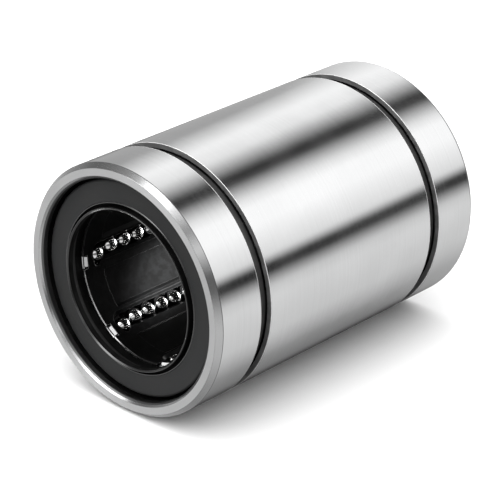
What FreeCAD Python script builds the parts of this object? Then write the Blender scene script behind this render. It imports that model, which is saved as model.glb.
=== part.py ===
import FreeCAD, Part
import math
import os

# A closed, sealed linear ball bearing. A hardened sleeve holds a moulded cage
# in which oblong circuits of steel balls run: the inner row of each circuit
# carries the shaft, and the outer row brings the balls back. A steel end ring
# closes the cage at each end, and a rubber seal closes the bore.
# The axis is +Z, and the bearing stands on its lower end at z = 0.
# With these sizes its outside diameter comes to 40 mm.

# Main sizes, in millimetres
shaft_d = 25.0
length = 59.0

# Sleeve: walls and end forms
sleeve_wall = 2.4
shoulder_w = 1.05
rim_chamfer_r = 0.65
rim_chamfer_z = 0.9
rim_round = 0.22
seat_chamfer = 0.3
race_taper_deg = 30.0
race_setback = 0.3

# Retaining-ring grooves round the sleeve
ring_groove_inset = 9.0
ring_groove_w = 2.1
ring_groove_depth = 1.0
groove_edge_break = 0.12

# Ball circuits
ball_d = 2.778
circuits = 7
first_row_deg = 90.0
least_ball_gap = 0.04
turn_ball_gap = 0.08

# Rubber seals
seal_recess = 1.6
seal_t = 2.9
seal_edge_r = 0.3
seal_edge_z = 1.3
seal_edge_round = 0.55
lip_rise = 0.7
lip_t = 0.45
lip_land = 1.0
lip_round = 0.15
lip_groove_w = 0.5
lip_groove_depth = 0.45
lip_relief_r = 0.8
lip_relief_z = 1.2
bead_h = 0.2
bead_w = 0.5
bead_slope = 0.2

# Steel end rings
end_ring_t = 0.8
end_ring_edge = 0.2

# Moulded cage
cage_end_wall = 0.4
nose_t = 0.35
nose_len = 0.9
nose_edge = 0.12
notch_w = 2.2
notch_offset = 0.9
window_hold = 0.14
window_bevel_w = 0.42
window_bevel_d = 0.35
panel_depth = 0.3
panel_lead = 3.15
panel_trail = 2.1
panel_slope_w = 0.55
panel_end_gap = 1.8
return_floor_t = 0.352

# Clearances
race_gap = 0.05
track_gap = 0.06
turn_clear = 0.1
cage_shaft_gap = 0.4
cage_sleeve_gap = 0.08
cage_end_play = 0.05
seat_gap = 0.03
nose_gap = 0.05

# Radii that follow, from the shaft outwards
shaft_r = shaft_d / 2
ball_r = ball_d / 2
track_r = ball_r + track_gap
load_r = shaft_r + ball_r
race_r = shaft_r + ball_d + race_gap
cage_in_r = shaft_r + cage_shaft_gap
cage_out_r = race_r - cage_sleeve_gap
nose_out_r = cage_in_r + nose_t
end_ring_in_r = nose_out_r + nose_gap
return_r = cage_in_r + panel_depth + return_floor_t + track_r
turn_bore_r = return_r + track_r + turn_clear
seat_r = turn_bore_r + shoulder_w
outer_r = seat_r + sleeve_wall
groove_r = outer_r - ring_groove_depth

# Heights that follow, each measured from one end
mid_z = length / 2
seal_edge_foot_z = seal_recess + seal_edge_z
seal_back_z = seal_recess + seal_t
bead_z = (seal_edge_foot_z + seal_back_z) / 2
shoulder_z = seal_back_z + end_ring_t
cage_end_z = shoulder_z + cage_end_play
nose_z = shoulder_z - nose_len

# The oblong path of one circuit
turn_r = (ball_d + turn_ball_gap) / math.sqrt(2)
turn_z = cage_end_z + cage_end_wall + track_r + turn_r
straight_len = length - 2 * turn_z
balls_per_row = int(straight_len / (ball_d + least_ball_gap))
ball_pitch = straight_len / balls_per_row
circuit_deg = 360.0 / circuits
return_cos = (load_r**2 + return_r**2 - (2 * turn_r)**2) / (2 * load_r * return_r)
return_deg = math.degrees(math.acos(return_cos))
window_w = ball_d - 2 * window_hold
window_reach = turn_r + ball_r / 2
race_z = turn_z + race_setback
race_taper_len = (turn_bore_r - race_r) / math.tan(math.radians(race_taper_deg))

V = FreeCAD.Vector
UP = V(0, 0, 1)


def on_circle(radius, deg, z=0.0):
    """Point at a radius, a clock angle and a height."""
    angle = math.radians(deg)
    return V(radius * math.cos(angle), radius * math.sin(angle), z)


def corner_arc(before, here, after, rounding):
    """Start, middle and end of the arc that rounds one corner of an outline."""
    back = (before - here).normalize()
    ahead = (after - here).normalize()
    half = back.getAngle(ahead) / 2
    reach = rounding / math.tan(half)
    bisector = (back + ahead).normalize()
    middle = here + bisector * (rounding / math.sin(half) - rounding)
    return here + back * reach, middle, here + ahead * reach


def turned(corners):
    """Solid turned about the axis. A corner is (r, z) or (r, z, rounding)."""
    points = [V(corner[0], 0, corner[1]) for corner in corners]
    count = len(points)
    starts = list(points)
    ends = list(points)
    edges = []
    for i, corner in enumerate(corners):
        if len(corner) == 3:
            after = points[(i + 1) % count]
            starts[i], middle, ends[i] = corner_arc(points[i - 1], points[i], after, corner[2])
            edges.append(Part.Arc(starts[i], middle, ends[i]).toShape())
    for i in range(count):
        edges.append(Part.LineSegment(ends[i], starts[(i + 1) % count]).toShape())
    wire = Part.Wire(Part.__sortEdges__(edges))
    return Part.Face(wire).revolve(V(0, 0, 0), UP, 360)


def both_ends(lower):
    """Outline of a piece that is the same at both ends, from its lower half."""
    upper = [(corner[0], length - corner[1]) + tuple(corner[2:]) for corner in reversed(lower)]
    return lower + upper


def at_upper_end(shape):
    """The same piece at the other end of the bearing."""
    return shape.mirror(V(0, 0, mid_z), UP)


def bead_corners(radius, height):
    """Four corners of the seal's bead, or of the groove that it snaps into."""
    half = bead_w / 2
    foot = half + bead_slope
    return [
        (radius, bead_z + foot),
        (radius + height, bead_z + half),
        (radius + height, bead_z - half),
        (radius, bead_z - foot),
    ]


def row_deg(index):
    """Clock angle of one circuit's loaded row."""
    return first_row_deg + index * circuit_deg


def loaded_line(index):
    """Foot of the line that the loaded balls run on."""
    return on_circle(load_r, row_deg(index))


def return_line(index):
    """Foot of the line that the returning balls run on."""
    return on_circle(return_r, row_deg(index) + return_deg)


def outer_sleeve():
    """Ground sleeve: raceway lands inside, ring grooves outside, seats at the ends."""
    edge = groove_edge_break
    groove_end = ring_groove_inset + ring_groove_w
    lower = [
        (race_r, race_z),
        (turn_bore_r, race_z - race_taper_len),
        (turn_bore_r, shoulder_z),
        (seat_r, shoulder_z),
    ]
    lower += bead_corners(seat_r, bead_h + seat_gap)
    lower += [
        (seat_r, seat_chamfer),
        (seat_r + seat_chamfer, 0),
        (outer_r - rim_chamfer_r, 0, rim_round),
        (outer_r, rim_chamfer_z, rim_round),
        (outer_r, ring_groove_inset - edge),
        (outer_r - edge, ring_groove_inset),
        (groove_r, ring_groove_inset),
        (groove_r, groove_end),
        (outer_r - edge, groove_end),
        (outer_r, groove_end + edge),
    ]
    sleeve = turned(both_ends(lower))
    foot = UP * shoulder_z
    channel_len = length - 2 * shoulder_z
    channels = []
    for index in range(circuits):
        start = return_line(index) + foot
        channels.append(Part.makeCylinder(track_r + race_gap, channel_len, start, UP))
    return sleeve.cut(channels)


def track_cutters(index):
    """The oblong ball track of one circuit, open outwards to the sleeve."""
    loaded = loaded_line(index) + UP * turn_z
    step = return_line(index) - loaded_line(index)
    across = V(step).normalize()
    outward = across.cross(UP)
    spin = UP.cross(across)
    side = across * track_r
    depth = outward * (outer_r - load_r)
    floor = Part.Arc(loaded - side, loaded - outward * track_r, loaded + side).toShape()
    walls = Part.makePolygon([loaded + side, loaded + side + depth, loaded - side + depth, loaded - side])
    section = Part.Face(Part.Wire([floor] + walls.Edges))
    straight = UP * straight_len
    lower_centre = loaded + step / 2
    return [
        section.extrude(straight),
        section.translated(step).extrude(straight),
        section.revolve(lower_centre, spin, -180),
        section.translated(straight).revolve(lower_centre + straight, spin, 180),
    ]


def oblong(centre, along, reach, half_w):
    """Closed wire of a slot with round ends, long in the direction of the axis."""
    end = UP * reach
    tip = UP * (reach + half_w)
    side = along * half_w
    edges = [
        Part.Arc(centre + end - side, centre + tip, centre + end + side).toShape(),
        Part.LineSegment(centre + end + side, centre - end + side).toShape(),
        Part.Arc(centre - end + side, centre - tip, centre - end - side).toShape(),
        Part.LineSegment(centre - end - side, centre + end - side).toShape(),
    ]
    return Part.Wire(edges)


def window_cutters(index):
    """Slot through which the loaded balls reach the shaft, with its bevelled edge."""
    deg = row_deg(index)
    along = UP.cross(on_circle(1.0, deg))
    half = window_w / 2
    wide = half + window_bevel_w
    reach = straight_len / 2 + window_reach - half
    inside = on_circle(shaft_r - ball_r, deg, mid_z)
    foot = on_circle(math.sqrt(cage_in_r**2 - wide**2), deg, mid_z)
    edge = on_circle(cage_in_r + window_bevel_d, deg, mid_z)
    slot = Part.Face(oblong(inside, along, reach, half)).extrude(on_circle(ball_d, deg))
    bevel = Part.makeLoft([oblong(foot, along, reach, wide), oblong(edge, along, reach, half)], True)
    return [slot, bevel]


def panel_cutter(index):
    """Shallow panel moulded into the bore between two rows, sloped at its far side."""
    floor_r = cage_in_r + panel_depth
    start = row_deg(index) + math.degrees(panel_lead / cage_in_r)
    finish = row_deg(index + 1) - math.degrees(panel_trail / cage_in_r)
    slope = finish - math.degrees(panel_slope_w / cage_in_r)
    z = turn_z - window_reach + panel_end_gap
    inner_start = on_circle(shaft_r, start, z)
    floor_start = on_circle(floor_r, start, z)
    floor_finish = on_circle(floor_r, slope, z)
    brink = on_circle(cage_in_r, finish, z)
    inner_finish = on_circle(shaft_r, finish, z)
    edges = [
        Part.LineSegment(inner_start, floor_start).toShape(),
        Part.Arc(floor_start, on_circle(floor_r, (start + slope) / 2, z), floor_finish).toShape(),
        Part.LineSegment(floor_finish, brink).toShape(),
        Part.LineSegment(brink, inner_finish).toShape(),
        Part.Arc(inner_finish, on_circle(shaft_r, (start + finish) / 2, z), inner_start).toShape(),
    ]
    return Part.Face(Part.Wire(edges)).extrude(UP * (length - 2 * z))


def notch_cutters(index):
    """Gaps in the cage's two noses, at the end of each row."""
    deg = row_deg(index) + math.degrees(notch_offset / cage_in_r)
    across = UP.cross(on_circle(1.0, deg)) * notch_w
    inner = on_circle(shaft_r, deg, nose_z) - across / 2
    outer = on_circle(end_ring_in_r, deg, nose_z) - across / 2
    outline = Part.makePolygon([inner, outer, outer + across, inner + across, inner])
    lower = Part.Face(outline).extrude(UP * (shoulder_z - nose_z))
    return [lower, at_upper_end(lower)]


def ball_cage():
    """Moulded cage with its ball tracks, their windows and the panels between."""
    lower = [
        (cage_in_r, nose_z + nose_edge),
        (cage_in_r + nose_edge, nose_z),
        (nose_out_r, nose_z),
        (nose_out_r, cage_end_z),
        (cage_out_r, cage_end_z),
    ]
    cage = turned(both_ends(lower))
    for index in range(circuits):
        cutters = track_cutters(index) + window_cutters(index) + notch_cutters(index)
        cage = cage.cut(cutters + [panel_cutter(index)])
    return cage


def end_ring():
    """Flat steel ring on the sleeve's shoulder, with its inner edge broken."""
    return turned([
        (end_ring_in_r, shoulder_z),
        (end_ring_in_r, seal_back_z + end_ring_edge),
        (end_ring_in_r + end_ring_edge, seal_back_z),
        (seat_r - seat_gap, seal_back_z),
        (seat_r - seat_gap, shoulder_z),
    ])


def seal():
    """Rubber seal: a stepped ring with a bead outside and a raised lip at the shaft."""
    outside = seat_r - seat_gap
    lip_z = seal_recess - lip_rise
    lip_out = shaft_r + lip_t
    groove_floor_z = seal_recess + lip_groove_depth
    inside = shaft_r + lip_relief_r
    corners = [
        (outside, seal_edge_foot_z),
        (outside - seal_edge_r, seal_edge_foot_z),
        (outside - seal_edge_r, seal_recess, seal_edge_round),
        (lip_out + lip_groove_w, seal_recess),
        (lip_out + lip_groove_w, groove_floor_z),
        (lip_out, groove_floor_z),
        (lip_out, lip_z, lip_round),
        (shaft_r, lip_z, lip_round),
        (shaft_r, lip_z + lip_land),
        (inside, lip_z + lip_land + lip_relief_z),
        (inside, seal_back_z),
        (outside, seal_back_z),
    ]
    return turned(corners + bead_corners(outside, bead_h))


def ball_row(line):
    """The balls of one straight row."""
    first = line + UP * (turn_z + ball_pitch / 2)
    balls = [Part.makeSphere(ball_r, first + UP * (i * ball_pitch)) for i in range(balls_per_row)]
    return Part.makeCompound(balls)


def lower_ball_turn(index):
    """The two balls that are going round the lower end of one circuit."""
    step = return_line(index) - loaded_line(index)
    middle = loaded_line(index) + step / 2
    side = V(step).normalize() * (turn_r * math.sqrt(0.5))
    level = UP * (turn_z - turn_r * math.sqrt(0.5))
    return Part.makeCompound([
        Part.makeSphere(ball_r, middle + level - side),
        Part.makeSphere(ball_r, middle + level + side),
    ])


def save(shape, name):
    """Write one sub-part."""
    shape.exportStep("parts/" + name + ".step")
    print(name, "solids", len(shape.Solids), "volume %.2f" % shape.Volume, "valid", shape.isValid())


os.makedirs("parts", exist_ok=True)
save(outer_sleeve(), "outer_sleeve")
save(ball_cage(), "ball_cage")
save(end_ring(), "lower_end_ring")
save(at_upper_end(end_ring()), "upper_end_ring")
save(seal(), "lower_seal")
save(at_upper_end(seal()), "upper_seal")
for circuit in range(circuits):
    number = "_%d" % (circuit + 1)
    save(ball_row(loaded_line(circuit)), "loaded_row" + number)
    save(ball_row(return_line(circuit)), "return_row" + number)
    save(lower_ball_turn(circuit), "lower_turn" + number)
    save(at_upper_end(lower_ball_turn(circuit)), "upper_turn" + number)
print("outside diameter %.4f" % (2 * outer_r), "balls per row", balls_per_row, "pitch %.5f" % ball_pitch)
print("loaded r %.4f" % load_r, "return r %.4f" % return_r, "return angle %.5f" % return_deg)
print("turn r %.5f" % turn_r, "turn z %.5f" % turn_z, "seat r %.4f" % seat_r)
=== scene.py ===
# %% [markdown]
# # A linear ball bearing, dressed for its photograph
# The bearing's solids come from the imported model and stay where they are. This
# lesson gives them their looks: a ground steel sleeve, black resin, rubber,
# polished balls, and a studio that shows what each of them is. The bearing
# stands on its end in the model. The photograph shows it lying on its side, so
# here the camera and the table turn instead of the bearing.

# %% Load the frame
import math

import bmesh
import bpy
from mathutils import Matrix, Vector


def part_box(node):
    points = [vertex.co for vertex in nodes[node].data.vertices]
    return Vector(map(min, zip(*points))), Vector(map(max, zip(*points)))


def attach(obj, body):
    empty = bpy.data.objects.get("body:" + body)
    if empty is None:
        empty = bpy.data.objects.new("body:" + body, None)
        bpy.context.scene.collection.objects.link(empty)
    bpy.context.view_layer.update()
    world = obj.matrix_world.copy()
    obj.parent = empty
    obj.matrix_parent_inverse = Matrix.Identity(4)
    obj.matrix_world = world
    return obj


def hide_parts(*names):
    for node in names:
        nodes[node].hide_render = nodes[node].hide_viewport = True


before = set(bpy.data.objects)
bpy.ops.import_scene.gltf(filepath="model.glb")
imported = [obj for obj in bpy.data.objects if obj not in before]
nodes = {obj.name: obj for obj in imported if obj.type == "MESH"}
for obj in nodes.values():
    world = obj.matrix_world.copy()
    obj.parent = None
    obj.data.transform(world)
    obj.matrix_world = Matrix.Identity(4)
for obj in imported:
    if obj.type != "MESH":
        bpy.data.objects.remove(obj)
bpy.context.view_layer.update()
MM = 0.001

# %% [markdown]
# ## Which way is up
# The table touches the side of the sleeve along one line. Its direction is given
# as a clock angle round the bearing's axis, seen from the upper end. Everything
# in the studio is placed from this one direction.

# %% Directions of the studio
TABLE_UP_DEG = -51.5


def round_axis(degrees):
    """The direction square to the bearing's axis at a clock angle from +X."""
    return Vector((math.cos(math.radians(degrees)), math.sin(math.radians(degrees)), 0))


_, sleeve_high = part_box("outer_sleeve")
outer_r = sleeve_high.x
length = sleeve_high.z
bearing_axis = Vector((0, 0, 1))
table_up = round_axis(TABLE_UP_DEG)
far_side = bearing_axis.cross(table_up)
camera_side = -far_side
print("outside radius %.2f mm, length %.2f mm" % (outer_r / MM, length / MM), "up", table_up)

# %% [markdown]
# ## Camera
# A long lens from about a third of a metre away: the far end of the bearing looks
# only a little smaller than the near end. The place and the aim were found by
# fitting the ellipses of the rims. The camera looks down on the table but isn't
# rolled, so its right-hand side is level with the table.

# %% Place the camera
CAMERA_AT = Vector((-0.08051, -0.25786, 0.27053))
CAMERA_FORWARD = Vector((0.2179, 0.7177, -0.6614))
LENS_MM = 166.5
SENSOR_MM = 36.0
camera_data = bpy.data.cameras.new("camera")
camera_data.sensor_width = SENSOR_MM
camera_data.lens = LENS_MM
camera_data.clip_start = 0.01
camera_data.clip_end = 10.0
camera = bpy.data.objects.new("camera", camera_data)
back = -CAMERA_FORWARD.normalized()
right = table_up.cross(back).normalized()
up = back.cross(right)
turned = Matrix((right, up, back)).transposed().to_4x4()
camera.matrix_world = Matrix.Translation(CAMERA_AT) @ turned
scene = bpy.context.scene
scene.collection.objects.link(camera)
scene.camera = camera
print("camera looks down by %.1f degrees" % math.degrees(math.asin(back.dot(table_up))))

# %% [markdown]
# ## Small helpers for node trees
# A material is a short list of nodes and links. These helpers add a node, set its
# values and join it up in one line each, so that each finish below reads like a
# recipe.

# %% Node helpers
def set_input(tree, socket, value):
    """Links a socket to an input, or sets a plain value on it."""
    if isinstance(value, bpy.types.NodeSocket):
        tree.links.new(value, socket)
    else:
        socket.default_value = value


def add_node(tree, kind, values=None, **settings):
    """A node of one kind, with its settings and what goes into its inputs."""
    node = tree.nodes.new(kind)
    for name, setting in settings.items():
        setattr(node, name, setting)
    for key, value in (values or {}).items():
        set_input(tree, node.inputs[key], value)
    return node


def math_node(tree, operation, *values):
    """The result of one sum on sockets or numbers."""
    return add_node(tree, "ShaderNodeMath", dict(enumerate(values)), operation=operation).outputs[0]


def dot(tree, first, second):
    """How far two directions agree: 1 where they are the same, 0 where they are square."""
    node = add_node(tree, "ShaderNodeVectorMath", {0: first, 1: second}, operation="DOT_PRODUCT")
    return node.outputs["Value"]


def map_range(tree, value, low, high, to_low=0.0, to_high=1.0, shape="SMOOTHSTEP"):
    """A value taken from one range to another, smoothly unless the shape says otherwise."""
    values = {"Value": value, "From Min": low, "From Max": high, "To Min": to_low, "To Max": to_high}
    return add_node(tree, "ShaderNodeMapRange", values, interpolation_type=shape).outputs["Result"]


print("node helpers:", [f.__name__ for f in (set_input, add_node, math_node, dot, map_range)])

# %% [markdown]
# ## Helpers for colours, shaders and meshes
# Nearly everything here is grey, so a colour is one level with a little warmth.
# Two colours or two shaders are mixed by an amount that another node works out.
# Every new shape is built as a bmesh, and one helper makes an object of it.

# %% Helpers for colours, shaders and meshes
def grey(level, warmth=0.0):
    """A grey, a little warmer or cooler."""
    return (level * (1 + warmth), level, level * (1 - warmth), 1.0)


def mix_colours(tree, amount, first, second):
    """A colour between two, by an amount from 0 to 1."""
    return add_node(tree, "ShaderNodeMix", {0: amount, 6: first, 7: second}, data_type="RGBA").outputs[2]


def mix_shaders(tree, amount, first, second):
    """A shader node between two, by an amount from 0 to 1."""
    values = {0: amount, 1: first.outputs[0], 2: second.outputs[0]}
    return add_node(tree, "ShaderNodeMixShader", values)


def object_from(bm, name):
    """An object in the scene with the mesh that was built."""
    mesh = bpy.data.meshes.new(name)
    bm.to_mesh(mesh)
    bm.free()
    piece = bpy.data.objects.new(name, mesh)
    scene.collection.objects.link(piece)
    return piece


print("a cool mid grey:", [round(c, 3) for c in grey(0.5, -0.02)])

# %% [markdown]
# ## Studio light
# Bright steel has hardly any look of its own: it shows the room. The stripes along
# the sleeve are tall soft boxes, the dark gap between them overhead, the dark edge
# of the table on the camera's side, and the white table below. All of these run
# along the bearing, so the room is painted as bands by the angle round its axis.
# Lamps could make the same bands, but a painted room is smooth, has no noise and
# works from every side.
#
# A band is a list of stops: degrees from straight up, positive towards the far
# side, and a light level. The outside of the sleeve mirrors the room behind the
# bearing. The land past the far groove mirrors a lighter one, because the table
# there is out of the bearing's shadow.

# %% Bands of the room behind the bearing
WHITE_TABLE = [(-180, 0.35), (-150, 0.84), (-115, 1.00), (-105, 0.88)]
TABLE_EDGE = [(-92, 0.03), (-86, 0.04)]
NEAR_SOFT_BOX = [(-78, 1.10), (-50, 1.52), (-34, 1.52), (-25, 1.20)]
GAP_OVERHEAD = [(-8, 0.08), (-2, 0.03), (2, 0.13)]
FAR_SOFT_BOX = [(22, 1.20), (42, 1.40), (60, 0.88)]
FAR_TABLE = [(76, 0.50), (110, 0.48)]
UNDER_BEARING = [(124, 0.10), (138, 0.03), (158, 0.23), (180, 0.35)]
BACK_ROOM = (WHITE_TABLE + TABLE_EDGE + NEAR_SOFT_BOX + GAP_OVERHEAD + FAR_SOFT_BOX
             + FAR_TABLE + UNDER_BEARING)
OUT_OF_SHADOW = {60: 1.15, 76: 1.00, 110: 0.62, 124: 0.40, 138: 0.36, 158: 0.50, 180: 0.57, -180: 0.57}
BEYOND_ROOM = [(degrees, OUT_OF_SHADOW.get(degrees, light)) for degrees, light in BACK_ROOM]
print("stops behind:", len(BACK_ROOM), "of which lighter beyond the far groove:", len(OUT_OF_SHADOW))

# %% [markdown]
# End faces and chamfers turn towards the camera, so they mirror the room in front.
# It has a soft box low on the camera's side, one overhead and one low on the far
# side, with dark gaps between them, and the table below.

# %% Bands of the room in front
FRONT_TABLE = [(-180, 0.34), (-160, 0.45), (-140, 0.71), (-118, 0.77), (-104, 0.60)]
FRONT_TABLE_EDGE = [(-88, 0.13), (-72, 0.14)]
FRONT_NEAR_BOX = [(-49, 1.08)]
FRONT_NEAR_GAP = [(-31, 0.36)]
FRONT_TOP_BOX = [(-13, 1.15), (5, 1.20)]
FRONT_FAR_GAP = [(35, 0.32), (65, 0.18), (90, 0.44)]
FRONT_FAR_BOX = [(125, 1.14)]
FRONT_FAR_TABLE = [(148, 0.46), (180, 0.34)]
FRONT_ROOM = (FRONT_TABLE + FRONT_TABLE_EDGE + FRONT_NEAR_BOX + FRONT_NEAR_GAP + FRONT_TOP_BOX
              + FRONT_FAR_GAP + FRONT_FAR_BOX + FRONT_FAR_TABLE)
print("stops in front:", len(FRONT_ROOM))

# %% [markdown]
# ## Angle and lean
# A direction in the room has an angle round the axis and a depth along it. The
# angle picks the band. The bands lean more and more towards the far side, as soft
# boxes do that aren't quite parallel to the bearing: there the angle shifts with
# the depth. The lean fades out where the table begins. The two ends of the sleeve
# mirror the depths SLEEVE_NEAR and SLEEVE_FAR.

# %% Angle and lean
LEAN_DEG = 22.0
LEAN_FROM_DEG, LEAN_TO_DEG = -90.0, 60.0
LEAN_FADE_DEG = (100.8, 136.8)
SLEEVE_NEAR, SLEEVE_FAR = -0.634, -0.708


def turn_at(degrees):
    """An angle from straight up as a part of a full turn, with straight up at a half."""
    return degrees / 360 + 0.5


world = bpy.data.worlds.new("studio")
scene.world = world
world.use_nodes = True
studio = world.node_tree
studio.nodes.clear()
direction = add_node(studio, "ShaderNodeTexCoord").outputs["Generated"]
angle = math_node(studio, "ARCTAN2", dot(studio, direction, far_side), dot(studio, direction, table_up))
turn = math_node(studio, "MULTIPLY_ADD", angle, 0.5 / math.pi, 0.5)
along = add_node(studio, "ShaderNodeSeparateXYZ", {0: direction}).outputs["Z"]
reach = map_range(studio, turn, turn_at(LEAN_FROM_DEG), turn_at(LEAN_TO_DEG), shape="LINEAR")
reach = math_node(studio, "POWER", reach, 2.0)
fade = map_range(studio, turn, *map(turn_at, LEAN_FADE_DEG), 1.0, 0.0)
half_lean = 0.5 * LEAN_DEG / 360
shift = map_range(studio, along, SLEEVE_NEAR, SLEEVE_FAR, half_lean, -half_lean, shape="LINEAR")
leaning = math_node(studio, "MULTIPLY_ADD", math_node(studio, "MULTIPLY", reach, fade), shift, turn)
print("bands lean by up to", LEAN_DEG, "degrees along the sleeve")

# %% [markdown]
# ## Rooms joined into one
# The depth along the axis says which room a direction belongs to. From far to near
# they are the grey of the far end, the room beyond the groove, the room behind the
# bearing, the room in front, and the grey of the near end. A colour ramp holds
# levels up to 1, so all rooms are painted darker by one factor and shone brighter
# by the same.

# %% Join the rooms
ROOM_GAIN = 2.0
BEYOND_SPAN = (-0.699, -0.707)
FRONT_SPAN = (-0.55, -0.35)
FAR_END_SPAN, FAR_END_LIGHT = (-0.80, -0.90), 0.70
NEAR_END_SPAN, NEAR_END_LIGHT = (0.88, 0.94), 0.40


def painted(tree, turn, room):
    """The light of a room at a turn from 0 to 1 about the bearing's axis."""
    ramp = add_node(tree, "ShaderNodeValToRGB", {"Fac": turn})
    stops = ramp.color_ramp.elements  # a new ramp has two stops already
    for place, (degrees, light) in enumerate(room):
        at = turn_at(degrees)
        stop = stops[place] if place < 2 else stops.new(at)
        stop.position = at
        stop.color = grey(light / ROOM_GAIN)
    return ramp.outputs["Color"]


near_land, far_land = painted(studio, leaning, BACK_ROOM), painted(studio, leaning, BEYOND_ROOM)
behind = mix_colours(studio, map_range(studio, along, *BEYOND_SPAN), near_land, far_land)
front = painted(studio, turn, FRONT_ROOM)
room = mix_colours(studio, map_range(studio, along, *FRONT_SPAN), behind, front)
for span, light in ((FAR_END_SPAN, FAR_END_LIGHT), (NEAR_END_SPAN, NEAR_END_LIGHT)):
    room = mix_colours(studio, map_range(studio, along, *span), room, grey(light / ROOM_GAIN))
print("rooms: behind, beyond, in front, and two ends")

# %% [markdown]
# ## Key lamps
# Two round lamps in front of the bearing, side by side, make the glints in the
# bore: on the balls, on the lip of the seal and on the cage. Each is a soft-edged
# disc in the painted room, brighter than all else. Its rim and its core are given
# as cosines of the angle from its middle. KEY_RISE is how much of the way to a lamp
# runs along the axis, out of 1.

# %% Key lamps
KEY_RISE = 0.62
KEY_LAMPS = [
    {"turn_deg": 12, "rim": 0.956, "core": 0.988, "light": 5.5},
    {"turn_deg": 38, "rim": 0.970, "core": 0.990, "light": 3.0},
]
for lamp in KEY_LAMPS:
    key_turn = math.radians(lamp["turn_deg"])
    sideways = table_up * math.cos(key_turn) + far_side * math.sin(key_turn)
    key_way = sideways * math.sqrt(1 - KEY_RISE ** 2) + bearing_axis * KEY_RISE
    disc = map_range(studio, dot(studio, direction, key_way), lamp["rim"], lamp["core"])
    room = mix_colours(studio, disc, room, grey(lamp["light"] / ROOM_GAIN))
print("key lamps:", len(KEY_LAMPS))

# %% [markdown]
# ## What each ray sees
# Mirrored light comes from the painted room. Rough surfaces get only a soft light
# from above, which leans a little towards the near end and the camera, so that the
# table has one calm shadow. Light of the room that reaches the table by way of the
# steel is cut to almost nothing, because it would throw bright streaks there. The
# camera itself sees white paper.

# %% What each ray sees
LEFT_BY_WAY_OF_STEEL = 0.02
OVERHEAD_LIGHT = 3.2
OVERHEAD_FALL = 1.5
LEAN_TO_NEAR_END, LEAN_TO_CAMERA = 0.30, 0.10
path = add_node(studio, "ShaderNodeLightPath").outputs
has_been_rough = math_node(studio, "MINIMUM", path["Diffuse Depth"], 1.0)
has_been_mirrored = math_node(studio, "MINIMUM", path["Glossy Depth"], 1.0)
by_way_of_steel = math_node(studio, "MULTIPLY", has_been_rough, has_been_mirrored)
cut = -ROOM_GAIN * (1 - LEFT_BY_WAY_OF_STEEL)
strength = math_node(studio, "MULTIPLY_ADD", by_way_of_steel, cut, ROOM_GAIN)
mirrored_light = add_node(studio, "ShaderNodeBackground", {"Color": room, "Strength": strength})
light_way = (table_up + LEAN_TO_NEAR_END * bearing_axis + LEAN_TO_CAMERA * camera_side).normalized()
to_light = math_node(studio, "MAXIMUM", dot(studio, direction, light_way), 0.0)
overhead = math_node(studio, "POWER", to_light, OVERHEAD_FALL)
overhead = math_node(studio, "MULTIPLY", overhead, OVERHEAD_LIGHT)
soft_light = add_node(studio, "ShaderNodeBackground", {"Color": grey(1.0), "Strength": overhead})
paper = add_node(studio, "ShaderNodeBackground", {"Color": grey(1.0), "Strength": 1.0})
lit = mix_shaders(studio, path["Is Diffuse Ray"], mirrored_light, soft_light)
shown = mix_shaders(studio, path["Is Camera Ray"], lit, paper)
add_node(studio, "ShaderNodeOutputWorld", {"Surface": shown.outputs[0]})
world.cycles.sampling_method = "NONE"
scene.view_settings.view_transform = "Standard"
scene.view_settings.look = "None"
print("nodes in the studio:", len(studio.nodes))

# %% [markdown]
# ## Table
# A plain white sheet that touches the sleeve along one line and catches its shadow.
# The room already holds the table's light, so the sheet is left out of reflections
# and throws no light back. From below it is clear, so that the side that lies on it
# can be seen too.

# %% Lay the table
TABLE_SIZE = 3.0
TABLE_WHITE = 0.97
bm = bmesh.new()
bmesh.ops.create_grid(bm, x_segments=1, y_segments=1, size=TABLE_SIZE / 2)
facing = Matrix((far_side, bearing_axis, table_up)).transposed().to_4x4()
bmesh.ops.transform(bm, matrix=Matrix.Translation(table_up * -outer_r) @ facing, verts=bm.verts)
table = object_from(bm, "table")
table.visible_glossy = table.visible_diffuse = table.visible_shadow = table.visible_transmission = False
white = bpy.data.materials.new("white_table")
white.use_nodes = True
tree = white.node_tree
tree.nodes.clear()
sheet = add_node(tree, "ShaderNodeBsdfDiffuse", {"Color": grey(TABLE_WHITE)})
clear = add_node(tree, "ShaderNodeBsdfTransparent")
from_below = add_node(tree, "ShaderNodeNewGeometry").outputs["Backfacing"]
shown = mix_shaders(tree, from_below, sheet, clear)
add_node(tree, "ShaderNodeOutputMaterial", {"Surface": shown.outputs[0]})
table.data.materials.append(white)
print("table normal", tuple(round(c, 3) for c in table.data.polygons[0].normal))

# %% [markdown]
# ## Three lamps for the bore
# The room hardly reaches into the bore. Light that comes in through the open far
# end makes the second glint on each ball: a round lamp that closes that end stands
# for it. A narrow spot through the near end lifts one panel of the black resin
# between two rows. It lights only rough surfaces, so it makes no glint of its own.
# A small strip along the bore's wall, inside the near end, does the opposite: it
# lights no rough surface, and only puts a glint on the balls low in the bore, which
# face away from the room. Places and sizes are in millimetres.

# %% Light the bore
FAR_LAMP_WATTS, FAR_LAMP_Z, FAR_LAMP_D = 0.026, 0.5, 24.0
SPOT_WATTS, SPOT_AWAY, SPOT_CONE_DEG, SPOT_SOFT_R = 95.0, 150.0, 4.6, 2.0
SPOT_AT = Vector((3.4, 11.6, 39.0))
SPOT_FROM = Vector((-0.367, -0.419, 0.83)).normalized()
STRIP_WATTS, STRIP_TURN_DEG, STRIP_R, STRIP_Z = 0.00032, 66.0, 11.3, 56.0
STRIP_LONG, STRIP_WIDE = 8.0, 2.4


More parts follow.
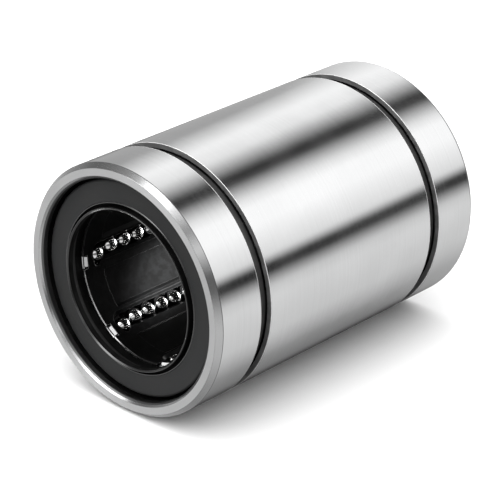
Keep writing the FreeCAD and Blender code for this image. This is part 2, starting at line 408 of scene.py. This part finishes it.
def add_lamp(name, kind, watts, place, towards):
    """A lamp at a place in millimetres that shines in a direction, hidden from the camera."""
    data = bpy.data.lights.new(name, kind)
    data.energy = watts
    lamp = bpy.data.objects.new(name, data)
    aim = towards.to_track_quat("-Z", "Y").to_matrix().to_4x4()
    lamp.matrix_world = Matrix.Translation(place * MM) @ aim
    lamp.visible_camera = False
    scene.collection.objects.link(lamp)
    return lamp


far_lamp = add_lamp("far_end", "AREA", FAR_LAMP_WATTS, bearing_axis * FAR_LAMP_Z, bearing_axis)
far_lamp.data.shape = "DISK"
far_lamp.data.size = FAR_LAMP_D * MM
spot = add_lamp("panel_spot", "SPOT", SPOT_WATTS, SPOT_AT + SPOT_FROM * SPOT_AWAY, -SPOT_FROM)
spot.data.spot_size = math.radians(SPOT_CONE_DEG)
spot.data.spot_blend = 1.0
spot.data.shadow_soft_size = SPOT_SOFT_R * MM
spot.visible_glossy = False
strip_side = round_axis(STRIP_TURN_DEG)
strip_at = strip_side * STRIP_R + bearing_axis * STRIP_Z
strip = add_lamp("glint_strip", "AREA", STRIP_WATTS, strip_at, -strip_side)
strip.data.shape = "RECTANGLE"
strip.data.size = STRIP_LONG * MM
strip.data.size_y = STRIP_WIDE * MM
strip.visible_diffuse = False
print("lamps:", [lamp.name for lamp in (far_lamp, spot, strip)])

# %% [markdown]
# ## Shared effects
# Three effects come back in several finishes, so each is a node group that puts out
# plain numbers. Tool marks are the fine rings that a lathe or a grinding wheel
# leaves. On a turned surface either the radius or the height changes, so one
# pattern along their sum rings them all. The radius counts a little more than the
# height, so that the two don't cancel on a slope.

# %% Group for tool marks
RADIUS_SHARE = 1.37
BROAD_SHARE = 0.12


def new_group(name, inputs, outputs):
    """An empty shader group and its two ends. An input without a value is a vector."""
    group = bpy.data.node_groups.new(name, "ShaderNodeTree")
    for label, value in inputs:
        kind = "NodeSocketVector" if value is None else "NodeSocketFloat"
        socket = group.interface.new_socket(label, in_out="INPUT", socket_type=kind)
        if value is not None:
            socket.default_value = value
    for label in outputs:
        group.interface.new_socket(label, in_out="OUTPUT", socket_type="NodeSocketFloat")
    return group, group.nodes.new("NodeGroupInput").outputs, group.nodes.new("NodeGroupOutput").inputs


def noise(tree, values, **settings):
    """A soft random value from 0 to 1."""
    return add_node(tree, "ShaderNodeTexNoise", values, **settings).outputs["Fac"]


tool_marks, given, result = new_group(
    "tool_marks", [("Vector", None), ("Rings per mm", 20.0), ("Wander", 0.02)], ["Height", "Streak"])
split = add_node(tool_marks, "ShaderNodeSeparateXYZ", {0: given["Vector"]}).outputs
flat = add_node(tool_marks, "ShaderNodeCombineXYZ", {"X": split["X"], "Y": split["Y"]}).outputs[0]
radius = add_node(tool_marks, "ShaderNodeVectorMath", {0: flat}, operation="LENGTH").outputs["Value"]
run = math_node(tool_marks, "ADD", math_node(tool_marks, "MULTIPLY", radius, RADIUS_SHARE), split["Z"])
run_mm = math_node(tool_marks, "MULTIPLY", run, 1 / MM)
sway = noise(tool_marks, {"Vector": given["Vector"], "Scale": 90.0, "Detail": 2.0})
wandering = math_node(tool_marks, "MULTIPLY_ADD", sway, given["Wander"], run_mm)
fine = noise(tool_marks, {"W": wandering, "Scale": given["Rings per mm"], "Detail": 3.0, "Roughness": 0.6},
             noise_dimensions="1D")
broad_scale = math_node(tool_marks, "MULTIPLY", given["Rings per mm"], BROAD_SHARE)
broad = noise(tool_marks, {"W": wandering, "Scale": broad_scale, "Detail": 2.0}, noise_dimensions="1D")
tool_marks.links.new(fine, result["Height"])
tool_marks.links.new(broad, result["Streak"])
print("group:", tool_marks.name, "nodes:", len(tool_marks.nodes))

# %% [markdown]
# Mottling is a soft cloud, for scale, oil and wear. Grain is the fine pitting that a
# mould gives to resin and rubber, and that rubbing gives to matt steel.

# %% Groups for mottling and grain
mottling, given, result = new_group(
    "mottling", [("Vector", None), ("Scale", 200.0), ("Low", 0.4), ("High", 0.65)], ["Cloud"])
cloud = noise(mottling, {"Vector": given["Vector"], "Scale": given["Scale"], "Detail": 5.0})
mottling.links.new(map_range(mottling, cloud, given["Low"], given["High"]), result["Cloud"])

grain, given, result = new_group("grain", [("Vector", None), ("Pits per m", 6000.0)], ["Height"])
pits = add_node(grain, "ShaderNodeTexVoronoi", {"Vector": given["Vector"], "Scale": given["Pits per m"]},
                feature="SMOOTH_F1").outputs["Distance"]
haze = noise(grain, {"Vector": given["Vector"], "Scale": given["Pits per m"], "Detail": 2.0})
grain.links.new(math_node(grain, "ADD", pits, haze), result["Height"])
print("groups:", [g.name for g in bpy.data.node_groups])

# %% [markdown]
# ## Helpers for finishes
# Every finish is one Principled shader. What stays the same all over is set on the
# shader itself. What changes from place to place comes from nodes that read the
# object's own coordinates, so a finish stays on its piece when the piece moves.

# %% Helpers for finishes
def new_finish(name, plain):
    """A material with one Principled shader, plain values set on the shader's own sockets."""
    material = bpy.data.materials.new(name)
    material.use_nodes = True
    tree = material.node_tree
    shader = tree.nodes["Principled BSDF"]
    for key, value in plain.items():
        shader.inputs[key].default_value = value
    coordinates = add_node(tree, "ShaderNodeTexCoord").outputs["Object"]
    return material, tree, shader, coordinates


def use_group(tree, group, **values):
    """A shared effect placed in one finish. Underscores in names stand for spaces."""
    node = tree.nodes.new("ShaderNodeGroup")
    node.node_tree = group
    for key, value in values.items():
        set_input(tree, node.inputs[key.replace("_", " ")], value)
    return node.outputs


def feed(tree, shader, **sources):
    """Links sockets to the shader's inputs. Underscores in names stand for spaces."""
    for key, source in sources.items():
        tree.links.new(source, shader.inputs[key.replace("_", " ")])


def blend_tones(tree, first, second, share):
    """A sum of two values, the first by its share and the second by the rest."""
    return math_node(tree, "MULTIPLY_ADD", first, share, math_node(tree, "MULTIPLY", second, 1 - share))


def shade_by(tree, shader, tone, colours, gloss, span=(0.0, 1.0)):
    """Takes colour and roughness from their first value to their second as a tone rises."""
    feed(tree, shader, Base_Color=mix_colours(tree, tone, *colours),
         Roughness=map_range(tree, tone, *span, *gloss))


def bump(tree, shader, height, strength, depth, **more):
    """Small relief on the shader's normal, its depth in millimetres."""
    values = {"Height": height, "Strength": strength, "Distance": depth * MM, **more}
    feed(tree, shader, Normal=add_node(tree, "ShaderNodeBump", values).outputs[0])


print("finish helpers:", [f.__name__ for f in (new_finish, use_group, feed, blend_tones, shade_by, bump)])

# %% [markdown]
# ## Bare machined steel
# The outside is centreless ground: satin, with very fine lines round it, so its
# gloss is stretched along the axis. Chamfers and end faces are turned and show
# coarser rings. The broad end face has the roughest rings, which fan its light out
# and make some sides of the face lighter than others. The seat's wall is dull, and a
# darker copy of the steel paints shade on it, on the lower half of the seat's chamfer
# and on a thin line by the outer chamfer.

# %% Bare machined steel
CLOUD_SHARE = 0.35
STEEL_DARK, STEEL_LIGHT, STEEL_WARMTH = 0.94, 1.05, -0.004
QUARTER_TURN = 0.25


def steel_finish(name, colour, roughness, spread, rings, relief, stretch):
    """Steel whose rings change its gloss and colour a little and give it relief."""
    material, tree, shader, place = new_finish(name, {"Metallic": 1.0, "Anisotropic": stretch})
    marks = use_group(tree, tool_marks, Vector=place, Rings_per_mm=rings)
    cloud = use_group(tree, mottling, Vector=place, Scale=120.0)["Cloud"]
    tone = blend_tones(tree, cloud, marks["Streak"], CLOUD_SHARE)
    shades = [grey(colour * change, STEEL_WARMTH) for change in (STEEL_DARK, STEEL_LIGHT)]
    shade_by(tree, shader, tone, shades, (roughness - spread, roughness + spread), span=(0.2, 0.8))
    bump(tree, shader, marks["Height"], 0.5, relief)
    tangent = add_node(tree, "ShaderNodeTangent", direction_type="RADIAL", axis="Z")
    feed(tree, shader, Tangent=tangent.outputs[0])
    shader.inputs["Anisotropic Rotation"].default_value = QUARTER_TURN
    return material


ground_steel = steel_finish("ground_steel", colour=0.64, roughness=0.14, spread=0.02, rings=24.0,
                            relief=0.0006, stretch=0.55)
turned_steel = steel_finish("turned_steel", colour=0.60, roughness=0.24, spread=0.04, rings=11.0,
                            relief=0.003, stretch=0.45)
turned_face = steel_finish("turned_face_steel", colour=0.64, roughness=0.42, spread=0.04, rings=11.0,
                           relief=0.003, stretch=0.85)
ring_steel = steel_finish("rolled_ring_steel", colour=0.58, roughness=0.28, spread=0.05, rings=9.0,
                          relief=0.002, stretch=0.3)
# A darker copy of the steel: painted shade on the seat and a thin line by the outer chamfer.
dull_shaded = steel_finish("dull_shaded_steel", colour=0.17, roughness=0.38, spread=0.05, rings=9.0,
                         relief=0.003, stretch=0.3)
print("machined:", [m.name for m in (ground_steel, turned_steel, turned_face, ring_steel, dull_shaded)])

# %% [markdown]
# ## Scale and matt steel
# The grooves are turned before hardening and not touched again, so their floors
# keep the dark scale of the furnace, and their walls are matt. The edges of the
# grooves are broken by hand with a stone, which leaves them matt, and they are
# painted pale as a highlight, so that they show as thin light lines. Both matt
# finishes have hardly any mirror left.

# %% Scale and matt steel
hardened_scale, tree, shader, place = new_finish("hardened_scale", {"Metallic": 0.75})
cloud = use_group(tree, mottling, Vector=place, Scale=450.0)["Cloud"]
shade_by(tree, shader, cloud, (grey(0.080), grey(0.100, 0.01)), (0.46, 0.54))
bump(tree, shader, use_group(tree, tool_marks, Vector=place, Rings_per_mm=9.0)["Height"], 0.5, 0.004)


def matt_steel(name, dark, light):
    """Steel that is rubbed or blasted, with a fine grain."""
    material, tree, shader, place = new_finish(name, {"Metallic": 0.3})
    cloud = use_group(tree, mottling, Vector=place, Scale=700.0)["Cloud"]
    shade_by(tree, shader, cloud, (grey(dark), grey(light)), (0.40, 0.50))
    bump(tree, shader, use_group(tree, grain, Vector=place, Pits_per_m=9000.0)["Height"], 0.2, 0.004)
    return material


# Pale steel on the groove edges: stoned and matt, and painted pale as a highlight.
stoned_edge_highlight = matt_steel("stoned_edge_highlight", dark=0.78, light=0.90)
groove_wall = matt_steel("groove_wall", dark=0.17, light=0.23)
print("scale and matt:", [m.name for m in (hardened_scale, stoned_edge_highlight, groove_wall)])

# %% [markdown]
# ## Cage resin and its edges
# The cage is moulded from black resin with a satin skin. Its edges are painted a
# little lighter, as a highlight, and a bevel node finds them: near an edge the
# softened normal differs from the true one.

# %% Cage resin and its edges
EDGE_R = 0.09
EDGE_FROM, EDGE_FULL = 0.992, 0.93
cage_resin, tree, shader, place = new_finish("cage_resin", {"IOR": 1.5, "Specular IOR Level": 0.02})
cloud = use_group(tree, mottling, Vector=place, Scale=900.0)["Cloud"]
shade = mix_colours(tree, cloud, grey(0.0009), grey(0.0013, -0.02))
soft_normal = add_node(tree, "ShaderNodeBevel", {"Radius": EDGE_R * MM}, samples=6).outputs["Normal"]
true_normal = add_node(tree, "ShaderNodeNewGeometry").outputs["True Normal"]
# This edge mask carries a painted highlight: the resin edges are coloured lighter.
edge = map_range(tree, dot(tree, soft_normal, true_normal), EDGE_FROM, EDGE_FULL)
print("edges of the resin are found within", EDGE_R, "mm")

# %% [markdown]
# The front edges of the cage, its noses next to the seals, carry a painted glint on
# one side: there they are painted pale and made metal, so that they shine like metal.
# A nose is found by its height, its sloped edge by the lean of its normal, and the
# glinting side by the clock angle. The three masks are multiplied. LINE is how far
# round the bright line goes, and BRIGHT how far the other edges of the nose shine.

# %% Painted glint on the noses of the cage
# The clock angle of the side where the noses carry a painted glint.
GLINT_SIDE_DEG = 78.0
NOSE_FROM, NOSE_FULL = 6.0, 5.0
# Edge colours: a painted highlight on all resin edges, and a pale painted glint on the noses.
EDGE_HIGHLIGHT, NOSE_GLINT_EDGE = 0.016, 0.60
SLOPE_FROM, SLOPE_TO = (0.40, 0.60), (0.93, 0.80)
LINE_SPAN, LINE_LEAST = (0.84, 0.95), 0.03
BRIGHT_SPAN, BRIGHT_LEAST = (0.70, 0.84), 0.15
NOSE_GLINT_METAL = 0.85
EDGE_SMOOTHER = -0.16
split = add_node(tree, "ShaderNodeSeparateXYZ", {0: place}).outputs
from_middle = math_node(tree, "ABSOLUTE", math_node(tree, "SUBTRACT", split["Z"], length / 2))
at_nose = map_range(tree, from_middle, 0.5 * length - NOSE_FROM * MM, 0.5 * length - NOSE_FULL * MM)
lean = add_node(tree, "ShaderNodeSeparateXYZ", {0: true_normal}).outputs["Z"]
lean = math_node(tree, "ABSOLUTE", lean)
sloped = math_node(tree, "MULTIPLY", map_range(tree, lean, *SLOPE_FROM), map_range(tree, lean, *SLOPE_TO))
outward = add_node(tree, "ShaderNodeCombineXYZ", {"X": split["X"], "Y": split["Y"]}).outputs[0]
outward = add_node(tree, "ShaderNodeVectorMath", {0: outward}, operation="NORMALIZE").outputs["Vector"]
glint_side = dot(tree, outward, round_axis(GLINT_SIDE_DEG))
sloped = math_node(tree, "MULTIPLY", sloped, map_range(tree, glint_side, *LINE_SPAN, LINE_LEAST))
edge = math_node(tree, "MAXIMUM", edge, math_node(tree, "MULTIPLY", sloped, at_nose))
# On that side the nose edges get a pale, metal-like colour: a painted glint.
bright = math_node(tree, "MULTIPLY", at_nose, map_range(tree, glint_side, *BRIGHT_SPAN, BRIGHT_LEAST))
glint_colour = mix_colours(tree, bright, grey(EDGE_HIGHLIGHT), grey(NOSE_GLINT_EDGE))
metal = math_node(tree, "MULTIPLY", edge, math_node(tree, "MULTIPLY", bright, NOSE_GLINT_METAL))
gloss = map_range(tree, cloud, 0.0, 1.0, 0.42, 0.48)
gloss = math_node(tree, "MULTIPLY_ADD", edge, EDGE_SMOOTHER, gloss)
feed(tree, shader, Base_Color=mix_colours(tree, edge, shade, glint_colour), Metallic=metal, Roughness=gloss)
pitted = use_group(tree, grain, Vector=place, Pits_per_m=9000.0)["Height"]
bump(tree, shader, pitted, 0.15, 0.01, Normal=soft_normal)
print("resin nodes:", len(tree.nodes))

# %% [markdown]
# ## Seal rubber
# The seal's face is dull, with a fine grain and faint flow rings. Its lip is glossy
# and wet with oil. The gaps behind and beside it are painted near black as shade,
# and the same painted shade darkens the inner corners of the grooves and the deeper
# part of the seal's seat.

# %% Seal rubber
seal_rubber, tree, shader, place = new_finish("seal_rubber", {"IOR": 1.5, "Specular IOR Level": 0.32})
streak = use_group(tree, tool_marks, Vector=place, Rings_per_mm=3.0)["Streak"]
cloud = use_group(tree, mottling, Vector=place, Scale=180.0)["Cloud"]
tone = blend_tones(tree, cloud, streak, 0.6)
shade_by(tree, shader, tone, (grey(0.021), grey(0.034, -0.03)), (0.45, 0.58))
bump(tree, shader, use_group(tree, grain, Vector=place, Pits_per_m=7000.0)["Height"], 0.3, 0.012)

lip_rubber, tree, shader, place = new_finish("lip_rubber", {"IOR": 1.5, "Specular IOR Level": 1.0})
rings = use_group(tree, tool_marks, Vector=place, Rings_per_mm=6.0)
shade_by(tree, shader, rings["Streak"], (grey(0.006), grey(0.012)), (0.18, 0.26), span=(0.2, 0.8))
bump(tree, shader, rings["Height"], 0.2, 0.004)

# Near-black colour that paints shade: in the gaps of the seal, deep in the seat and in the corners of the
# grooves.
painted_gap_shade, tree, shader, place = new_finish("painted_gap_shade", {"IOR": 1.5, "Specular IOR Level": 0.03})
cloud = use_group(tree, mottling, Vector=place, Scale=300.0)["Cloud"]
shade_by(tree, shader, cloud, (grey(0.003), grey(0.006)), (0.55, 0.65))
bump(tree, shader, use_group(tree, grain, Vector=place, Pits_per_m=7000.0)["Height"], 0.2, 0.01)
print("rubber:", [m.name for m in (seal_rubber, lip_rubber, painted_gap_shade)])

# %% [markdown]
# ## Ball steel
# The balls are lapped to a mirror, with a trace of grease that dulls them in
# patches.

# %% Ball steel
ball_steel, tree, shader, place = new_finish("ball_steel", {"Metallic": 1.0})
cloud = use_group(tree, mottling, Vector=place, Scale=420.0)["Cloud"]
shade_by(tree, shader, cloud, (grey(0.84), grey(0.74, 0.01)), (0.03, 0.07))
print("finishes in all:", len(bpy.data.materials))

# %% [markdown]
# ## Turned pieces
# The sleeve and the seals are turned or moulded round, so each is an outline spun
# about the axis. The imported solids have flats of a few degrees, which a mirror
# finish would show, so these pieces are spun again in finer steps. An outline is a
# list of corners: radius, height and bevel in millimetres, and the finish of the
# stretch that follows.

# %% Helpers that spin an outline
SPIN_STEPS = 240
SAME_PLACE = 1e-6
BEVEL_SEGMENTS = 4


def spin(corners):
    """A closed mesh from corners, spun once round the axis."""
    bm = bmesh.new()
    ring = [bm.verts.new((c[0] * MM, 0, c[1] * MM)) for c in corners]
    edges = [bm.edges.new((ring[i - 1], ring[i])) for i in range(len(ring))]
    bmesh.ops.spin(bm, geom=ring + edges, cent=(0, 0, 0), axis=(0, 0, 1), angle=2 * math.pi,
                   steps=SPIN_STEPS, use_merge=True)
    bmesh.ops.remove_doubles(bm, verts=bm.verts, dist=SAME_PLACE)
    bmesh.ops.recalc_face_normals(bm, faces=bm.faces)
    return bm


def give_finishes(bm, corners, finishes):
    """Gives each face the finish of the stretch of outline that it was spun from."""
    middles = []
    for i, here in enumerate(corners):
        after = corners[(i + 1) % len(corners)]
        middles.append(((here[0] + after[0]) / 2, (here[1] + after[1]) / 2, finishes.index(here[3])))
    for face in bm.faces:
        r = sum(math.hypot(v.co.x, v.co.y) for v in face.verts) / len(face.verts) / MM
        z = sum(v.co.z for v in face.verts) / len(face.verts) / MM
        face.material_index = min(middles, key=lambda m: (m[0] - r) ** 2 + (m[1] - z) ** 2)[2]
        face.smooth = True


def round_corners(bm, corners):
    """Bevels the ring of edges at each corner that has a bevel."""
    def at_corner(v, r, z):
        return (abs(math.hypot(v.co.x, v.co.y) - r * MM) < SAME_PLACE
                and abs(v.co.z - z * MM) < SAME_PLACE)

    for r, z, bevel, _ in corners:
        if bevel:
            at = [e for e in bm.edges if all(at_corner(v, r, z) for v in e.verts)]
            bmesh.ops.bevel(bm, geom=at, offset=bevel * MM, offset_type="OFFSET", segments=BEVEL_SEGMENTS,
                            profile=0.5, affect="EDGES", clamp_overlap=True, material=-1)


def spun_piece(name, corners, finishes):
    """A piece spun from an outline, which rides on the bearing."""
    bm = spin(corners)
    give_finishes(bm, corners, finishes)
    round_corners(bm, corners)
    piece = object_from(bm, name)
    for finish in finishes:
        piece.data.materials.append(finish)
    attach(piece, "bearing")
    return piece


print("one spun step turns by", 360 / SPIN_STEPS, "degrees")

# %% [markdown]
# Sharp corners stay sharp and everything else is smooth. The large faces lead the
# normals, so that a small bevel doesn't bend the mirror beside it. The bearing is
# the same from either end, so half an outline is enough: the other half has the
# same corners in reverse order.

# %% Helpers for shading and for the other half
SHARP_DEG = 28


def smooth_shading(piece):
    """Smooth faces with sharp corners kept, and normals led by the large faces."""
    bm = bmesh.new()
    bm.from_mesh(piece.data)
    for face in bm.faces:
        face.smooth = True
    for edge in bm.edges:
        edge.smooth = edge.calc_face_angle(0.0) < math.radians(SHARP_DEG)
    bm.to_mesh(piece.data)
    bm.free()
    steady = piece.modifiers.new("steady_normals", "WEIGHTED_NORMAL")
    steady.keep_sharp = True
    print(piece.name, "faces", len(piece.data.polygons))


def mirrored(half, total):
    """The outline's other half: corners in reverse, each with the finish that follows it there."""
    far = [(r, total - z, bevel) for r, z, bevel, _ in reversed(half)]
    finish_after = [c[3] for c in half]
    return [(r, z, bevel, finish_after[len(half) - 2 - i] if i < len(half) - 1 else half[-1][3])
            for i, (r, z, bevel) in enumerate(far)]


print("corners over", SHARP_DEG, "degrees stay sharp")

# %% [markdown]
# ## Sleeve
# The outline starts inside at the raceway and goes down to the seat of the seal,
# with the groove that holds its bead. Nearer the end the seat's wall is painted near
# black as shade, then dull steel painted dark as shade. The chamfer on the seat is
# dull and painted dark as shade below, and bright above. Then come the end face, the
# outer chamfer with a thin painted dark line beside it, and the ground outside up to
# the ring groove. The groove has thin broken edges, painted pale as a highlight, and
# painted shade in its two inner corners.

# %% Sleeve
LENGTH = length / MM
raceway = [
    (15.328, 9.52, 0, hardened_scale),
    (16.55, 7.40, 0, hardened_scale),
    (16.55, 5.30, 0, hardened_scale),
]
# The seat's wall is painted near black as shade deeper in, and dark as shade nearer the end.
seal_seat = [
    (17.60, 5.30, 0, hardened_scale),
    (17.60, 4.15, 0, hardened_scale),
    (17.83, 3.95, 0, hardened_scale),
    (17.83, 3.45, 0, hardened_scale),
    (17.60, 3.25, 0, painted_gap_shade),
    (17.60, 1.36, 0, dull_shaded),
]
# Dull strips here are painted dark as shade: the lower half of the seat's chamfer and a thin line by the
# outer chamfer.
end_and_chamfers = [
    (17.60, 0.54, 0.04, dull_shaded),
    (17.84, 0.30, 0, turned_steel),
    (18.14, 0.00, 0.04, turned_face),
    (19.30, 0.00, 0.06, turned_steel),
    (20.00, 0.90, 0.06, dull_shaded),
    (20.00, 1.02, 0, ground_steel),
]
# Pale edges are a painted highlight, and the near-black inner corners are painted shade.
ring_groove = [
    (20.00, 8.90, 0, stoned_edge_highlight),
    (20.00, 8.96, 0, stoned_edge_highlight),
    (19.96, 9.00, 0, groove_wall),
    (19.22, 9.00, 0, painted_gap_shade),
    (19.00, 9.00, 0, painted_gap_shade),
    (19.00, 9.25, 0, hardened_scale),
    (19.00, 10.85, 0, painted_gap_shade),
    (19.00, 11.10, 0, painted_gap_shade),
    (19.22, 11.10, 0, groove_wall),
    (19.96, 11.10, 0, stoned_edge_highlight),
    (20.00, 11.14, 0, stoned_edge_highlight),
    (20.00, 11.20, 0, ground_steel),
]
sleeve_half = raceway + seal_seat + end_and_chamfers + ring_groove
SLEEVE_FINISHES = [ground_steel, turned_steel, turned_face, stoned_edge_highlight, groove_wall, hardened_scale,
                   dull_shaded, painted_gap_shade]
sleeve = spun_piece("ground_sleeve", sleeve_half + mirrored(sleeve_half, LENGTH), SLEEVE_FINISHES)
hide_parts("outer_sleeve")
print("corners in the sleeve's outline:", 2 * len(sleeve_half))

# %% [markdown]
# ## Channels for the returning balls
# Seven round channels run along the inside of the sleeve, one for each row of balls
# that goes back unloaded. On the real sleeve they are broached. Here seven rods are
# taken away from the spun sleeve with a Boolean, which is applied at once.

# %% Channels for the returning balls
CIRCUITS = 7
FIRST_ROW_DEG = 90.0
RETURN_DEG = 15.4715
RETURN_R = 15.001
CHANNEL_R = 1.499
CHANNEL_END = 5.5
CHANNEL_SIDES = 48
bm = bmesh.new()
for row in range(CIRCUITS):
    at = math.radians(FIRST_ROW_DEG + row * 360 / CIRCUITS + RETURN_DEG)
    place = Vector((RETURN_R * math.cos(at), RETURN_R * math.sin(at), LENGTH / 2)) * MM
    bmesh.ops.create_cone(bm, cap_ends=True, segments=CHANNEL_SIDES, radius1=CHANNEL_R * MM,
                          radius2=CHANNEL_R * MM, depth=(LENGTH - 2 * CHANNEL_END) * MM,
                          matrix=Matrix.Translation(place))
drills = object_from(bm, "channel_drills")
drilled = sleeve.modifiers.new("channels", "BOOLEAN")
drilled.operation = "DIFFERENCE"
drilled.solver = "EXACT"
drilled.object = drills
graph = bpy.context.evaluated_depsgraph_get()
spare_meshes = [sleeve.data, drills.data]
sleeve.data = bpy.data.meshes.new_from_object(sleeve.evaluated_get(graph))
sleeve.modifiers.remove(drilled)
bpy.data.objects.remove(drills)
for mesh in spare_meshes:
    bpy.data.meshes.remove(mesh)
sleeve.data.name = "ground_sleeve"
smooth_shading(sleeve)

# %% [markdown]
# ## Seals
# A moulded rubber disc with a lip that wipes the shaft. Its outer edge is rounded
# and steps back, which leaves a gap beside the seat; the step is painted near black
# as shade. A fine ridge and a groove part the lip from the face, and the groove and
# the inside of the lip are painted near black as shade too. The lip's crest slopes
# inwards, so one stretch of it mirrors the key lamps. A bead round the outside snaps
# into the seat.

# %% Seals
# The step of the outer edge is painted near black as shade.
seal_face = [
    (17.57, 2.90, 0, painted_gap_shade),
    (17.27, 2.90, 0, painted_gap_shade),
    (17.27, 1.60, 0.55, seal_rubber),
    (13.68, 1.60, 0, lip_rubber),
]
# The groove behind the ridge is painted near black as shade.
ridge_and_groove = [
    (13.60, 1.52, 0, lip_rubber),
    (13.50, 1.52, 0, lip_rubber),
    (13.45, 1.57, 0, painted_gap_shade),
    (13.45, 2.05, 0, painted_gap_shade),
    (13.00, 2.05, 0, painted_gap_shade),
]
# Inside the lip the rubber is painted near black as shade.
lip = [
    (13.00, 1.08, 0, lip_rubber),
    (12.95, 0.96, 0, lip_rubber),
    (12.87, 0.90, 0, lip_rubber),
    (12.81, 0.90, 0, lip_rubber),
    (12.62, 1.09, 0, painted_gap_shade),
    (12.50, 1.25, 0, painted_gap_shade),
    (12.50, 1.90, 0, painted_gap_shade),
    (13.30, 3.10, 0, painted_gap_shade),
]
back_and_bead = [
    (13.30, 4.50, 0, seal_rubber),
    (17.57, 4.50, 0, seal_rubber),
    (17.57, 4.15, 0, seal_rubber),
    (17.77, 3.95, 0, seal_rubber),
    (17.77, 3.45, 0, seal_rubber),
    (17.57, 3.25, 0, seal_rubber),
]
SEAL_FINISHES = [seal_rubber, lip_rubber, painted_gap_shade]
seal_outline = seal_face + ridge_and_groove + lip + back_and_bead
turned_over = [(r, LENGTH - z, bevel, finish) for r, z, bevel, finish in seal_outline]
lower_seal = spun_piece("soft_lower_seal", seal_outline, SEAL_FINISHES)
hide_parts("lower_seal")
upper_seal = spun_piece("soft_upper_seal", turned_over, SEAL_FINISHES)
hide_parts("upper_seal")
for piece in (lower_seal, upper_seal):
    smooth_shading(piece)

# %% [markdown]
# ## Tongues of the end rings
# In each notch of the cage sits a small bright tongue of the steel end ring, which
# stops the cage from turning. It is a wedge with one slope towards the open end, so
# a triangle drawn out to a short prism in each of the fourteen notches is enough.

# %% Tongues of the end rings
TONGUE_W = 1.6
TONGUE_TURN_DEG = 3.997
tongue_profile = [(12.92, 5.28), (13.28, 5.28), (13.28, 4.92)]
bm = bmesh.new()
for row in range(CIRCUITS):
    outward = round_axis(FIRST_ROW_DEG + row * 360 / CIRCUITS + TONGUE_TURN_DEG)
    across = bearing_axis.cross(outward) * TONGUE_W / 2
    for at_upper_end in (False, True):
        heights = [(r, LENGTH - z if at_upper_end else z) for r, z in tongue_profile]
        corners = [outward * r + bearing_axis * z - across for r, z in heights]
        face = bm.faces.new([bm.verts.new(corner * MM) for corner in corners])
        grown = bmesh.ops.extrude_face_region(bm, geom=[face])["geom"]
        moved = [v for v in grown if isinstance(v, bmesh.types.BMVert)]
        bmesh.ops.translate(bm, vec=across * 2 * MM, verts=moved)
bmesh.ops.recalc_face_normals(bm, faces=bm.faces)
tongues = object_from(bm, "ring_tongues")
tongues.data.materials.append(turned_steel)
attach(tongues, "bearing")
print("tongues:", 2 * CIRCUITS, "faces:", len(tongues.data.polygons))

# %% [markdown]
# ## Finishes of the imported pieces
# The cage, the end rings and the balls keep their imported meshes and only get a
# finish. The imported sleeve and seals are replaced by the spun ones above, but they
# get theirs too, so that no piece is left bare. Whatever isn't named is a ball.

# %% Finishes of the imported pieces
FINISH_BY_WORD = {"cage": cage_resin, "seal": seal_rubber, "end_ring": ring_steel, "sleeve": ground_steel}
for name, node in nodes.items():
    finish = next((finish for word, finish in FINISH_BY_WORD.items() if word in name), ball_steel)
    node.data.materials.clear()
    node.data.materials.append(finish)
print("finishes given to", len(nodes), "packed pieces")
